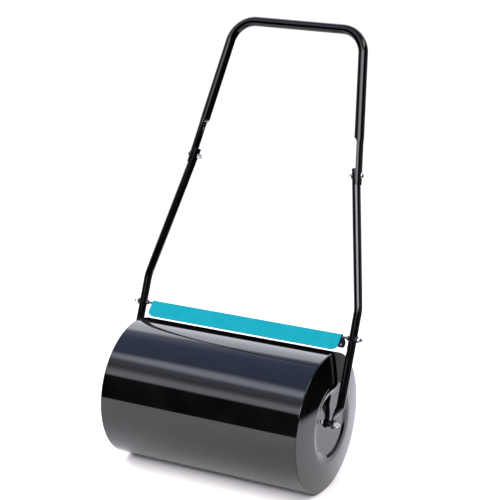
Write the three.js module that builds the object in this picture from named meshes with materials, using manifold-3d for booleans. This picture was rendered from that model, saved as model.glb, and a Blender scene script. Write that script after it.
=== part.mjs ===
// Walk-behind lawn roller: a fillable steel drum in a two-part tubular push frame, with a scraper.
// Millimetres. X runs along the drum's axis, +Y is where the handle leans, +Z is up, and the
// origin is on the ground, below the middle of the drum.
import * as THREE from 'three';
import { mergeVertices } from 'three/addons/utils/BufferGeometryUtils.js';
import Module from 'manifold-3d';

const wasm = await Module();
wasm.setup();

// ---------------------------------------------------------------- driving dimensions
const GAP = 0.3;                    // clearance between pieces that touch

// drum
const DRUM_R = 160;                 // from the axis to the flats of the barrel
const DRUM_FLATS = 60;              // facets of the barrel, one of them on the ground
const DRUM_HALF = 248;              // half the width over the turned rims
const SHELL_HALF = 245.5;           // half the width of the rolled barrel
const SHELL_T = 1.5;                // sheet of the barrel
const PLATE_T = 1.5;                // sheet of the end plates
const DOME_R = 156.5;               // where the plate's dome starts
const CREST_R = 91;                 // where the end plate stands out most
const CREST_X = 258.6;              // how far out the crest stands
const POCKET_R = 68.5;              // flat floor of the round pocket
const POCKET_X = 253.4;
const RIM_ROUND = 2.2;              // radius of the turned rim

// filler in the left end plate
const FILLER_R = 125;               // distance from the drum's axis
const FILLER_ANGLE = -62;           // degrees round the axis from +Y towards +Z
const FILLER_HOLE = 17.5;           // radius of the hole in the plate
const FILLER_BORE = 12;             // radius of the socket's bore

// hub
const AXLE_R = 4;                   // stub axle
const BUSH_R = 5.6;                 // outside of the bush's barrel
const EYE_X = 262;                  // middle of the flattened eye of the arm
const EYE_T = 3.2;                  // its thickness
const EYE_W = 22;                   // its width

// push frame: everything lies in one plane through the drum's axis
const LEAN = 23.15;                 // degrees that the frame leans back
const ARM_R = 9.5;                  // lower arm tube
const ARM_WALL = 1.5;
const ARM_X = 272;                  // middle of the arm beside the drum
const KINK_S = 260;                 // distance from the axle at which the arm turns inward
const KINK_SLOPE = 0.2117;          // inward, per unit along the frame
const ARM_TOP = 574;                // upper end of the lower arm
const HANDLE_R = 11;                // upper handle tube
const HANDLE_WALL = 1.5;
const HANDLE_LOW = 538;             // lower end of the upper handle
const PRESS_FROM = 636;             // the cup starts here
const BAR_S = 889.5;                // middle of the push bar
const LEG_SLOPE = 0.1452;
const CORNER_X = 163.9;             // where leg and bar would meet
const CORNER_R = 60;                // bend radius
const LAP_S = 557.5;                // lap bolt
const LAP_R = 3;                    // M6

// scraper
const PIVOT_S = 194.5;              // pivot bolts
const PIVOT_R = 3;
const BLADE_HALF = 245;
const BLADE_T = 2;
const BLADE_TOP = [75.5, 346.5];    // y, z of the top edge
const BLADE_LOW = [45.5, 318.4];    // y, z of the lower edge
const CLIP_X = 13;                  // clipped lower corners
const CLIP_W = 9.5;
const TAB_T = 2;                    // bracket sheet

// ---------------------------------------------------------------- materials
const paint = { color: 0x0b0b0d, roughness: 0.18, metalness: 0.0 };
const blackPlastic = { color: 0x141416, roughness: 0.5, metalness: 0.0 };
const zinc = { color: 0xd2d4d8, roughness: 0.3, metalness: 1.0 };
const turquoise = { color: 0x1cb2cf, roughness: 0.35, metalness: 0.0 };
const darkBlue = { color: 0x08182a, roughness: 0.35, metalness: 0.2 };
const rubber = { color: 0x1a1a1a, roughness: 0.85, metalness: 0.0 };

// ---------------------------------------------------------------- helpers
const roller = new THREE.Group();
const rad = THREE.MathUtils.degToRad;

function add(name, geometry, look) {
  const mesh = new THREE.Mesh(geometry, new THREE.MeshStandardMaterial(look));
  mesh.name = name;
  roller.add(mesh);
  return mesh;
}

function weld(geometry, tolerance = 1e-4) {
  const g = geometry.index ? geometry.clone() : geometry;
  for (const key of Object.keys(g.attributes)) if (key !== 'position') g.deleteAttribute(key);
  return mergeVertices(g, tolerance);
}

function solid(geometry) {
  const g = weld(geometry);
  return new wasm.Manifold(new wasm.Mesh({
    numProp: 3,
    vertProperties: Float32Array.from(g.attributes.position.array),
    triVerts: Uint32Array.from(g.index.array),
  }));
}

function fromSolid(body) {
  const m = body.getMesh();
  const g = new THREE.BufferGeometry();
  g.setAttribute('position', new THREE.BufferAttribute(Float32Array.from(m.vertProperties), 3));
  g.setIndex(new THREE.BufferAttribute(Uint32Array.from(m.triVerts), 1));
  return g;
}

function cut(geometry, ...tools) {
  let body = solid(geometry);
  for (const tool of tools) body = body.subtract(solid(tool));
  return fromSolid(body);
}

// point of the frame's plane: x across, s up the frame from the axle, d out of its plane (back)
const leanSin = Math.sin(rad(LEAN));
const leanCos = Math.cos(rad(LEAN));
function onFrame(x, s, d = 0) {
  return new THREE.Vector3(x, s * leanSin + d * leanCos, DRUM_R + s * leanCos - d * leanSin);
}

// closed profile of [x, radius] pairs turned about the drum's axis; facets centred on the ground
function turned(profile, facets = 32, toFlats = false) {
  const k = toFlats ? 1 / Math.cos(Math.PI / facets) : 1;
  const points = profile.map(([x, r]) => new THREE.Vector2(r * k, x));
  const g = new THREE.LatheGeometry(points, facets, Math.PI / facets);
  g.rotateZ(-Math.PI / 2);          // the lathe's axis becomes +X
  return g;
}

// a closed profile of a plain ring
const ring = (x0, x1, r0, r1) => [[x0, r0], [x0, r1], [x1, r1], [x1, r0], [x0, r0]];

// round bar or bored ring along X, centred on y, z
function barX(x0, x1, r, y, z, facets = 20) {
  const g = new THREE.CylinderGeometry(r, r, Math.abs(x1 - x0), facets);
  g.rotateZ(-Math.PI / 2);
  g.translate((x0 + x1) / 2, y, z);
  return g;
}

// hexagon nut along X with its bore, flats apart `af`
function nutX(x0, x1, af, bore, y, z) {
  const shape = new THREE.Shape();
  for (let i = 0; i < 6; i++) {
    const a = Math.PI / 6 + i * Math.PI / 3;
    const r = af / 2 / Math.cos(Math.PI / 6);
    if (i) shape.lineTo(r * Math.cos(a), r * Math.sin(a));
    else shape.moveTo(r * Math.cos(a), r * Math.sin(a));
  }
  shape.closePath();
  if (bore) {
    const hole = new THREE.Path();
    hole.absarc(0, 0, bore, 0, Math.PI * 2, true);
    shape.holes.push(hole);
  }
  const depth = Math.abs(x1 - x0);
  const g = new THREE.ExtrudeGeometry(shape, { depth, bevelEnabled: false, curveSegments: 10 });
  g.rotateY(Math.PI / 2);
  g.translate(Math.min(x0, x1), y, z);
  return weld(g);
}

// skin over closed rings of points that all have the same count; wall rings make it a tube
function skin(rings, closeLoop) {
  const n = rings[0].length;
  const position = [];
  const index = [];
  for (const loop of rings) for (const p of loop) position.push(p.x, p.y, p.z);
  const rows = closeLoop ? rings.length : rings.length - 1;
  for (let i = 0; i < rows; i++) {
    const a = i * n;
    const b = ((i + 1) % rings.length) * n;
    for (let j = 0; j < n; j++) {
      const k = (j + 1) % n;
      index.push(a + j, a + k, b + k, a + j, b + k, b + j);
    }
  }
  const endFan = (start, flip) => {
    const flat = rings[start];
    const centre = new THREE.Vector3();
    for (const p of flat) centre.addScaledVector(p, 1 / n);
    const c = position.length / 3;
    position.push(centre.x, centre.y, centre.z);
    for (let j = 0; j < n; j++) {
      const k = (j + 1) % n;
      if (flip) index.push(c, start * n + k, start * n + j);
      else index.push(c, start * n + j, start * n + k);
    }
  };
  if (!closeLoop) {
    endFan(0, true);
    endFan(rings.length - 1, false);
  }
  const g = new THREE.BufferGeometry();
  g.setAttribute('position', new THREE.Float32BufferAttribute(position, 3));
  g.setIndex(index);
  return g;
}

// turns a closed geometry so that its faces point out
function outward(geometry) {
  const g = weld(geometry);
  const p = g.attributes.position;
  const t = g.index.array;
  const a = new THREE.Vector3();
  const b = new THREE.Vector3();
  const c = new THREE.Vector3();
  let volume = 0;
  for (let i = 0; i < t.length; i += 3) {
    a.fromBufferAttribute(p, t[i]);
    b.fromBufferAttribute(p, t[i + 1]);
    c.fromBufferAttribute(p, t[i + 2]);
    volume += a.dot(b.cross(c));
  }
  if (volume < 0) for (let i = 0; i < t.length; i += 3) [t[i], t[i + 1]] = [t[i + 1], t[i]];
  return g;
}

const mirrorX = (geometry) => {
  const g = geometry.clone();
  g.scale(-1, 1, 1);
  return outward(g);
};

const smooth = (t) => {
  const u = Math.min(1, Math.max(0, t));
  return u * u * (3 - 2 * u);
};

// ---------------------------------------------------------------- drum
const middle = (g) => g.translate(0, 0, DRUM_R);

// the barrel runs between the turned rims of the end plates
const shellProfile = ring(-SHELL_HALF, SHELL_HALF, DRUM_R - SHELL_T, DRUM_R);
add('drum_shell', outward(middle(turned(shellProfile, DRUM_FLATS, true))), paint);

// outer face of the end plate from its turned rim to the hub hole, as [x, r]
function plateFace(offset) {
  const out = [];
  const r = RIM_ROUND - offset;
  const rimX = DRUM_HALF - RIM_ROUND;
  const rimR = DRUM_R - 0.2 - RIM_ROUND;
  for (const a of [0, 38, 76]) {
    out.push([rimX + r * Math.sin(rad(a)), rimR + r * Math.cos(rad(a))]);
  }
  for (const t of [0.02, 0.5, 1]) {
    const rise = (CREST_X - DRUM_HALF - 0.4) * (1.25 * t - 0.25 * t * t);
    out.push([DRUM_HALF + 0.2 - offset + rise, DOME_R + (CREST_R + 3 - DOME_R) * t]);
  }
  // from the crest down to the pocket's floor, as drop and run
  const floor = [CREST_X - POCKET_X, CREST_R - POCKET_R];
  for (const [drop, run] of [[0.1, 2], [0.6, 6.5], [2.2, 13], [4.1, 18], floor]) {
    out.push([CREST_X - drop - offset, CREST_R - run]);
  }
  return out;
}

function plateProfile() {
  const outer = plateFace(0);
  const inner = plateFace(PLATE_T);
  const holeR = AXLE_R + GAP;
  return [
    ...outer, [POCKET_X, holeR], [POCKET_X - PLATE_T, holeR],
    ...inner.reverse(), outer[0],
  ];
}
const plate = outward(middle(turned(plateProfile(), DRUM_FLATS, true)));
add('end_plate_right', plate, paint);

const fillY = FILLER_R * Math.cos(rad(FILLER_ANGLE));
const fillZ = DRUM_R + FILLER_R * Math.sin(rad(FILLER_ANGLE));
const fillHole = barX(-DRUM_HALF + 20, -DRUM_HALF - 30, FILLER_HOLE + GAP, fillY, fillZ, 28);
add('end_plate_left', outward(cut(mirrorX(plate), fillHole)), paint);

// filler socket: a bored boss welded in the plate's hole
const along = (profile, facets, y, z) => {
  const g = turned(profile, facets);
  g.translate(0, y, z);
  return outward(g);
};
const SOCKET_OUT = -257.6;
const SOCKET_IN = -242;
add('filler_socket', along(ring(SOCKET_IN, SOCKET_OUT, FILLER_BORE, FILLER_HOLE), 28, fillY, fillZ),
  paint);
// plug: shank in the bore, head over the seal
const SEAL_T = 1.2;
const HEAD_IN = SOCKET_OUT - SEAL_T - GAP * 2;
add('plug_seal', along(ring(SOCKET_OUT - GAP, SOCKET_OUT - GAP - SEAL_T, FILLER_BORE - 0.2, 15.5), 28,
  fillY, fillZ), rubber);
const plugHead = along([
  [SOCKET_IN, 0], [SOCKET_IN, 10.2], [SOCKET_IN - 1, FILLER_BORE - 0.6],
  [HEAD_IN, FILLER_BORE - 0.6], [HEAD_IN, 16], [HEAD_IN - 1.2, 16], [HEAD_IN - 2, 15], [HEAD_IN - 2, 0],
], 28, fillY, fillZ);
add('filler_plug', outward(cut(plugHead, nutX(HEAD_IN + 6, HEAD_IN - 8, 10, 0, fillY, fillZ))),
  blackPlastic);

// ---------------------------------------------------------------- hub parts, one set a side
const HUB_NUT_AF = 13;
const NUT_IN = 265.9;
const NUT_OUT = 271.4;
const AXLE_END = 277;
const stub = [
  [POCKET_X - PLATE_T - GAP - 4, 0], [POCKET_X - PLATE_T - GAP - 4, 17],
  [POCKET_X - PLATE_T - GAP, 17], [POCKET_X - PLATE_T - GAP, AXLE_R],
  [AXLE_END - 1, AXLE_R], [AXLE_END, AXLE_R - 1.2], [AXLE_END, 0],
];
const bush = [
  [POCKET_X + GAP, AXLE_R + GAP], [POCKET_X + GAP, BUSH_R + 2.2], [POCKET_X + 2.2, BUSH_R + 2.2],
  [POCKET_X + 2.8, BUSH_R], [EYE_X + EYE_T / 2 + GAP, BUSH_R], [EYE_X + EYE_T / 2 + GAP, AXLE_R + GAP],
  [POCKET_X + GAP, AXLE_R + GAP],
];
const washer = ring(EYE_X + EYE_T / 2 + 2 * GAP, NUT_IN - GAP, AXLE_R + GAP, 10.5);
for (const [side, sign] of [['right', 1], ['left', -1]]) {
  const place = (profile, facets) => {
    const g = outward(middle(turned(profile, facets)));
    return sign > 0 ? g : mirrorX(g);
  };
  add(`axle_stub_${side}`, place(stub, 24), zinc);
  add(`hub_bush_${side}`, place(bush, 24), blackPlastic);
  add(`hub_washer_${side}`, place(washer, 28), blackPlastic);
  add(`hub_nut_${side}`, nutX(sign * NUT_IN, sign * NUT_OUT, HUB_NUT_AF, AXLE_R + GAP, 0, DRUM_R), zinc);
}

// ---------------------------------------------------------------- lower arms
const RING = 16;

// centre line of the right arm's middle and of the right leg, as x at a distance s
const armX = (s) => ARM_X - KINK_SLOPE * Math.max(0, s - KINK_S);
const KINK_TAN = 9;                 // half length of the kink's bend

function armCentre(s) {
  if (s < KINK_S - KINK_TAN) {
    return ARM_X - (ARM_X - EYE_X) * (1 - smooth((s - 12) / 31));
  }
  if (s < KINK_S + KINK_TAN) {
    const t = (s - KINK_S + KINK_TAN) / (2 * KINK_TAN);
    return ARM_X - KINK_SLOPE * KINK_TAN * t * t;
  }
  return armX(s);
}

// section of the arm at s: round tube above, pressed flat below
function armRing(s, inset) {
  const flat = 1 - smooth((s - 11) / 27);
  const halfX = ARM_R + (EYE_T / 2 - ARM_R) * flat - inset;
  let halfD = ARM_R + (EYE_W / 2 - ARM_R) * flat - inset;
  if (s < 0) halfD = Math.sqrt(Math.max(0, (EYE_W / 2) ** 2 - s * s)) - inset;
  const power = 1 + 2.2 * flat;     // the flat part has square edges
  const slope = s > KINK_S ? KINK_SLOPE : 0;
  const tilt = Math.atan(slope * smooth((s - KINK_S + KINK_TAN) / (2 * KINK_TAN)));
  const loop = [];
  for (let j = 0; j < RING; j++) {
    const a = (j + 0.5) / RING * Math.PI * 2;
    const c = Math.cos(a);
    const q = Math.sin(a);
    const u = Math.sign(c) * Math.abs(c) ** (1 / power) * halfX;
    const v = Math.sign(q) * Math.abs(q) ** (1 / (1 + 0.6 * flat)) * halfD;
    loop.push(onFrame(armCentre(s) + u * Math.cos(tilt), s + u * Math.sin(tilt), v));
  }
  return loop;
}

const armOuter = [-10.7, -9, -5, 0, 11.5, 16, 20, 24, 29, 34, 40, 48, KINK_S - KINK_TAN,
  KINK_S, KINK_S + KINK_TAN, ARM_TOP].map((s) => armRing(s, 0));
const armInner = [ARM_TOP, KINK_S + KINK_TAN, KINK_S, KINK_S - KINK_TAN, 70, 50]
  .map((s) => armRing(s, ARM_WALL));
// the tube is open at its top end, and its bore ends where the walls meet
const arm = outward(skin(armOuter.concat(armInner), false));

const eyeHole = barX(EYE_X - 12, EYE_X + 12, BUSH_R + GAP, 0, DRUM_R, 24);
const pivot = onFrame(0, PIVOT_S);
const pivotHole = barX(ARM_X - 30, ARM_X + 30, PIVOT_R + GAP, pivot.y, pivot.z, 16);
// the lap bolt crosses square to the arm: its pieces are made along X about the arm's middle
const lapTilt = Math.atan(KINK_SLOPE);
const lapSeat = new THREE.Matrix4().makeBasis(
  new THREE.Vector3(Math.cos(lapTilt), Math.sin(lapTilt) * leanSin, Math.sin(lapTilt) * leanCos),
  new THREE.Vector3(0, leanCos, -leanSin),
  new THREE.Vector3(-Math.sin(lapTilt), Math.cos(lapTilt) * leanSin, Math.cos(lapTilt) * leanCos),
).setPosition(onFrame(armX(LAP_S), LAP_S));
const atLap = (geometry, sign) => {
  const g = weld(geometry).applyMatrix4(lapSeat);
  return sign > 0 ? outward(g) : mirrorX(g);
};
const lapHole = atLap(barX(-40, 40, LAP_R + GAP, 0, 0, 16), 1);
const armRight = outward(cut(arm, eyeHole, pivotHole, lapHole));
add('lower_arm_right', armRight, paint);
add('lower_arm_left', mirrorX(armRight), paint);

// ---------------------------------------------------------------- upper handle
const HRING = 20;
const CUP_R = ARM_R + 0.45;         // inside of the cup that holds the arm's tube

// round section, pressed from the inner side into a cup near its lower end
function legSection(press, inset, gapToArm) {
  const rx = HANDLE_R - 1.2 * press - inset;
  const rd = HANDLE_R + 0.7 * press - inset;
  const cup = CUP_R + inset;
  const loop = [];
  for (let j = 0; j < HRING; j++) {
    const a = (j + 0.5) / HRING * Math.PI * 2;
    const d = rd * Math.sin(a);
    let u = rx * Math.cos(a);
    if (u < 0 && press > 0) {
      const inside = Math.abs(d) < cup ? Math.sqrt(cup * cup - d * d) - gapToArm : -gapToArm;
      const limit = Math.min(rx * Math.sqrt(Math.max(0, 1 - (d / rd) ** 2)) - 0.25, inside);
      const target = Math.max(-1.2, limit);
      u += (Math.max(u, target) - u) * press;
    }
    loop.push([u, d]);
  }
  return loop;
}

// centre line of the upper handle from the right leg's end over the bar to the left leg's end
const legX = (s) => CORNER_X + LEG_SLOPE * (BAR_S - s);
const tiltLeg = Math.atan(LEG_SLOPE);
const turn = Math.PI / 2 - tiltLeg;
const tangent = CORNER_R * Math.tan(turn / 2);

function handleStations() {
  const list = [];
  const legs = [HANDLE_LOW, 575, 600, 624, 630, 634, 637, 640, 643, 648];
  for (const s of legs) {
    const press = 1 - smooth((s - (PRESS_FROM - 8)) / 18);
    list.push({ x: legX(s), s, dir: Math.PI / 2 + tiltLeg, press, leg: true });
  }
  const cx = CORNER_X - tangent;
  const cs = BAR_S - CORNER_R;
  const steps = 6;
  for (let i = 0; i <= steps; i++) {
    const a = tiltLeg + turn * i / steps;     // direction the outside of the bend faces
    list.push({
      x: cx + CORNER_R * Math.cos(a), s: cs + CORNER_R * Math.sin(a), dir: Math.PI / 2 + a, press: 0,
    });
  }
  return list;
}

function handleRing(st, inset) {
  // outward normal of the path in the frame's plane
  const ux = Math.sin(st.dir);
  const us = -Math.cos(st.dir);
  const gapToArm = st.leg ? legX(st.s) - armX(Math.min(st.s, 600)) : 0;
  const lift = st.leg ? Math.min(gapToArm, 6) : 0;
  return legSection(st.press, inset, lift).map(([u, d]) => [st.x + ux * u, st.s + us * u, d]);
}

const handle = (() => {
  const right = handleStations();
  const outerRight = right.map((st) => handleRing(st, 0));
  const innerRight = right.map((st) => handleRing(st, HANDLE_WALL));
  // mirrored rings taken in reverse carry the path on to the left leg's end
  const flip = (loop) => loop.map(([x, s, d]) => [-x, s, d]);
  const outer = outerRight.concat(outerRight.slice().reverse().map(flip));
  const inner = innerRight.concat(innerRight.slice().reverse().map(flip));
  const rings = outer.concat(inner.reverse()).map((l) => l.map(([x, s, d]) => onFrame(x, s, d)));
  return outward(skin(rings, true));
})();
add('upper_handle', outward(cut(handle, lapHole, mirrorX(lapHole))), paint);

// ---------------------------------------------------------------- lap bolts and nuts
const armIn = -ARM_R;
const cupOut = (legX(LAP_S) - armX(LAP_S)) * Math.cos(lapTilt) + HANDLE_R - 1.2 + 0.7;
for (const [side, sign] of [['right', 1], ['left', -1]]) {
  const dome = [
    [armIn - 9.5, 0], [armIn - 9.5, LAP_R - 0.6], [armIn - 8.8, LAP_R], [cupOut, LAP_R],
    [cupOut, 6.6], [cupOut + 1.1, 6.4], [cupOut + 2.7, 4.8], [cupOut + 3.6, 2.2], [cupOut + 3.8, 0],
  ];
  add(`lap_bolt_${side}`, atLap(turned(dome, 20), sign), zinc);
  const flat = ring(armIn - GAP - 1.4, armIn - GAP, LAP_R + GAP, 6.2);
  add(`lap_washer_${side}`, atLap(turned(flat, 24), sign), zinc);
  add(`lap_nut_${side}`, atLap(nutX(armIn - 7.2, armIn - 2.2, 10, LAP_R + GAP, 0, 0), sign), zinc);
}

// ---------------------------------------------------------------- scraper
// unit vector down the blade, in y and z
const bladeDir = new THREE.Vector2(BLADE_LOW[0] - BLADE_TOP[0], BLADE_LOW[1] - BLADE_TOP[1]);
const BLADE_W = bladeDir.length();
bladeDir.normalize();

// outline of the blade in its own plane: x along the drum, w down from the top edge
const bladeShape = new THREE.Shape();
bladeShape.moveTo(-BLADE_HALF + 2, 0);
bladeShape.lineTo(BLADE_HALF - 2, 0);
bladeShape.lineTo(BLADE_HALF, 2);
bladeShape.lineTo(BLADE_HALF, BLADE_W - CLIP_W);
bladeShape.lineTo(BLADE_HALF - 3, BLADE_W - CLIP_W + 5);
bladeShape.lineTo(BLADE_HALF - CLIP_X, BLADE_W);
bladeShape.lineTo(-BLADE_HALF + CLIP_X, BLADE_W);
bladeShape.lineTo(-BLADE_HALF + 3, BLADE_W - CLIP_W + 5);
bladeShape.lineTo(-BLADE_HALF, BLADE_W - CLIP_W);
bladeShape.lineTo(-BLADE_HALF, 2);
bladeShape.closePath();

// puts a shape drawn as (x, w) with thickness t behind its face into place on the blade
const bladeFrame = new THREE.Matrix4().makeBasis(
  new THREE.Vector3(1, 0, 0),
  new THREE.Vector3(0, bladeDir.x, bladeDir.y),
  new THREE.Vector3(0, -bladeDir.y, bladeDir.x),
).setPosition(0, BLADE_TOP[0], BLADE_TOP[1]);
function onBlade(geometry) {
  const g = geometry.clone();
  g.applyMatrix4(bladeFrame);
  return outward(g);
}
// depth runs behind the blade's face
const bladePlate = new THREE.ExtrudeGeometry(bladeShape, { depth: BLADE_T, bevelEnabled: false });

add('scraper_blade', onBlade(bladePlate), turquoise);

// bracket: a tab spot-welded behind the blade and an ear that stands back from its end
const EAR_HOLE = [75, 321.7];
const EAR_LOBE = [89.5, 318.6];
const LOBE_R = 8.6;
function earShape() {
  const onBack = (w, t) => [
    BLADE_TOP[0] + bladeDir.x * w - bladeDir.y * t,
    BLADE_TOP[1] + bladeDir.y * w + bladeDir.x * t,
  ];
  const top = onBack(0.4, BLADE_T + GAP);
  const low = onBack(BLADE_W - CLIP_W, BLADE_T + GAP);
  const s = new THREE.Shape();
  s.moveTo(top[0], top[1]);
  s.lineTo(low[0], low[1]);
  s.absarc(EAR_LOBE[0] - 4.5, EAR_LOBE[1], LOBE_R, rad(-112), rad(-90), false);
  s.absarc(EAR_LOBE[0], EAR_LOBE[1], LOBE_R, rad(-80), rad(30), false);
  s.lineTo(pivot.y + 8.6, pivot.z + 1);
  s.lineTo(top[0] + 4.5, top[1] + 0.4);
  s.closePath();
  const hole = new THREE.Path();
  hole.absarc(EAR_HOLE[0], EAR_HOLE[1], 3.4, 0, Math.PI * 2, true);
  s.holes.push(hole);
  return s;
}
const EAR_IN = BLADE_HALF - TAB_T;
const bracket = (() => {
  const ear = new THREE.ExtrudeGeometry(earShape(), { depth: TAB_T, bevelEnabled: false, curveSegments: 8 });
  // the shape's x, y become the object's y, z, and its depth becomes x
  ear.applyMatrix4(new THREE.Matrix4().makeBasis(
    new THREE.Vector3(0, 1, 0), new THREE.Vector3(0, 0, 1), new THREE.Vector3(1, 0, 0),
  ));
  ear.translate(EAR_IN, 0, 0);
  const tabLong = BLADE_W - CLIP_W - 13;
  const tab = new THREE.BoxGeometry(24, tabLong, TAB_T);
  tab.translate(BLADE_HALF - 12, 12 + tabLong / 2, BLADE_T + GAP + TAB_T / 2);
  const joined = solid(outward(ear)).add(solid(onBlade(tab)));
  const hole = barX(EAR_IN - 6, EAR_IN + 8, PIVOT_R + GAP, pivot.y, pivot.z, 16);
  return outward(cut(fromSolid(joined), hole));
})();
add('scraper_bracket_right', bracket, darkBlue);
add('scraper_bracket_left', mirrorX(bracket), darkBlue);

// pivot bolts with their nuts and the black saddle washers on the arms
const SADDLE_OUT = ARM_X + ARM_R + 3;
for (const [side, sign] of [['right', 1], ['left', -1]]) {
  const y = pivot.y;
  const z = pivot.z;
  const boltEnd = SADDLE_OUT + 10.5;
  const bolt = [
    [EAR_IN - 1.7, 0], [EAR_IN - 1.7, 3.2], [EAR_IN - GAP, 3.9], [EAR_IN - GAP, PIVOT_R],
    [boltEnd - 0.8, PIVOT_R], [boltEnd, PIVOT_R - 0.8], [boltEnd, 0],
  ];
  const place = (g) => (sign > 0 ? outward(g.translate(0, y, z)) : mirrorX(g.translate(0, y, z)));
  add(`pivot_bolt_${side}`, place(turned(bolt, 20)), zinc);
  const inner = ARM_X - ARM_R - GAP;
  add(`pivot_inner_nut_${side}`, nutX(sign * (inner - 4.6), sign * inner, 10, PIVOT_R + GAP, y, z), zinc);
  // saddle: a short round boss with the tube's shape cut out of its inner end
  const boss = turned(ring(ARM_X + 4, SADDLE_OUT, PIVOT_R + GAP, 7.5), 24);
  boss.translate(0, y, z);
  const tube = new THREE.CylinderGeometry(ARM_R + GAP, ARM_R + GAP, 60, 40);
  tube.rotateX(Math.PI / 2);
  tube.rotateX(-rad(LEAN));
  tube.translate(ARM_X, y, z);
  const saddle = outward(cut(outward(boss), tube));
  add(`saddle_washer_${side}`, sign > 0 ? saddle : mirrorX(saddle), blackPlastic);
  add(`pivot_outer_nut_${side}`,
    nutX(sign * (SADDLE_OUT + GAP), sign * (SADDLE_OUT + 5.3), 10, PIVOT_R + GAP, y, z), zinc);
}

export default roller;
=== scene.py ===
import math
import bmesh
import bpy
from mathutils import Matrix, Vector


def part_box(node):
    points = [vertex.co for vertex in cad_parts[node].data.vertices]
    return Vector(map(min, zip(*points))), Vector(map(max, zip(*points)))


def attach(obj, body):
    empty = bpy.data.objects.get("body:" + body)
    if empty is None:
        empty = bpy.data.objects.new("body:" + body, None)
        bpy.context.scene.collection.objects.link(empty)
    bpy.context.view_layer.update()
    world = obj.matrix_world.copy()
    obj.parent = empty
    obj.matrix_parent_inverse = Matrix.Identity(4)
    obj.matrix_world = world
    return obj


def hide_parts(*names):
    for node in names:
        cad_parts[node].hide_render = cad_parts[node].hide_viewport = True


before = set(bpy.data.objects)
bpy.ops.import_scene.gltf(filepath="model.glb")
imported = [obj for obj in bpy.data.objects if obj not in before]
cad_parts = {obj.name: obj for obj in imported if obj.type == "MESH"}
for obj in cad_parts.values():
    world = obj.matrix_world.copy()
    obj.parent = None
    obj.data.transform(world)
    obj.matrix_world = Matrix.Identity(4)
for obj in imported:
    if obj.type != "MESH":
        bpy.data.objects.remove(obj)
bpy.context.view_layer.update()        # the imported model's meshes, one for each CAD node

# Walk-behind lawn roller. Lengths are in millimetres here and become metres in mesh(). X runs along
# the drum's axis, +Y is where the handle leans, +Z is up, and the ground is at z = 0. The sizes below
# are the imported model's own.
GAP = 0.3                           # clearance between pieces that touch
AXLE_Z = 160.0

# drum: barrel, end plates with their domed crest and round pocket, and filler
DRUM_R, SHELL_HALF, SHELL_T = 160.0, 245.5, 1.5
DRUM_HALF, RIM_ROUND, PLATE_T = 248.0, 2.2, 1.5
DOME_R, CREST_R, CREST_X, POCKET_R, POCKET_X = 156.5, 91.0, 258.6, 68.5, 253.4
FILLER_HOLE, FILLER_BORE, FILLER_PITCH = 17.5, 12.0, 2.0

# hub: axle and bush radii, and the pressed eye of the arm
AXLE_R, BUSH_R = 4.0, 5.6
EYE_X, EYE_T, EYE_W = 262.0, 3.2, 22.0

# push frame: a name with _S is a distance up the leaning frame from the axle
LEAN = math.radians(23.15)
ARM_R, ARM_WALL, ARM_X, ARM_TOP = 9.5, 1.5, 272.0, 574.0
KINK_S, KINK_SLOPE, KINK_TAN = 260.0, 0.2117, 9.0
HANDLE_R, HANDLE_WALL, HANDLE_LOW, PRESS_FROM = 11.0, 1.5, 538.0, 636.0
CUP_R = ARM_R + 0.45                # inside of the cup that holds the arm's tube
BAR_S, LEG_SLOPE, CORNER_X, CORNER_R = 889.5, 0.1452, 163.9, 60.0
LIP = 0.35                          # softened edge at a tube's open end

# bolts and nuts
LAP_S, LAP_R, PIVOT_S, PIVOT_R = 557.5, 3.0, 194.5, 3.0
BOLT_NUT_FLATS, HUB_NUT_FLATS = 10.0, 13.0

# scraper: points are y and z, a name with _X is along the drum and one with _W is down the blade
BLADE_HALF, BLADE_T = 245.0, 2.0
BLADE_TOP, BLADE_LOW = Vector((75.5, 346.5)), Vector((45.5, 318.4))
BLADE_W = (BLADE_LOW - BLADE_TOP).length
CLIP_X, CLIP_W, TAB_T = 13.0, 9.5, 2.0
EAR_IN = BLADE_HALF - TAB_T         # inner face of the right bracket's ear
EAR_HOLE, EAR_HOLE_R = (75.0, 321.7), 3.4
EAR_LOBE, LOBE_R = (89.5, 318.6), 8.6

# facets a turn of the drum, of other round pieces and of bolts
FINE, ROUND, SMALL = 288, 64, 40
# an edge with a larger angle than this stays crisp, in degrees
CREASE, THREAD_CREASE, NUT_CREASE = 35.0, 28.0, 25.0


# ---------------------------------------------------------------- curves and sections
def ease(t):
    """Smooth step from 0 to 1."""
    t = min(1.0, max(0.0, t))
    return t * t * (3 - 2 * t)


def spread(a, b, n):
    """n + 1 numbers from a to b."""
    return [a + (b - a) * i / n for i in range(n + 1)]


def lean(x, s, d=0.0):
    """Point of the push frame's plane: x across, s up from the axle, d out of the plane."""
    return (x, s * math.sin(LEAN) + d * math.cos(LEAN),
            AXLE_Z + s * math.cos(LEAN) - d * math.sin(LEAN))


def filleted(points, radius, closed=True, steps=3):
    """The outline with its corners rounded."""
    out = []
    for i, point in enumerate(points):
        here = Vector(point)
        if not closed and i in (0, len(points) - 1):
            out.append(tuple(here))
            continue
        a = Vector(points[i - 1]) - here
        b = Vector(points[(i + 1) % len(points)]) - here
        half = a.angle(b) / 2
        if half > math.radians(84):
            out.append(tuple(here))
            continue
        back = min(radius / math.tan(half), a.length * 0.45, b.length * 0.45)
        p, q = here + a.normalized() * back, here + b.normalized() * back
        for t in spread(0, 1, steps):
            out.append(tuple(p * (1 - t) ** 2 + here * (2 * t * (1 - t)) + q * t * t))
    return out


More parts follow.
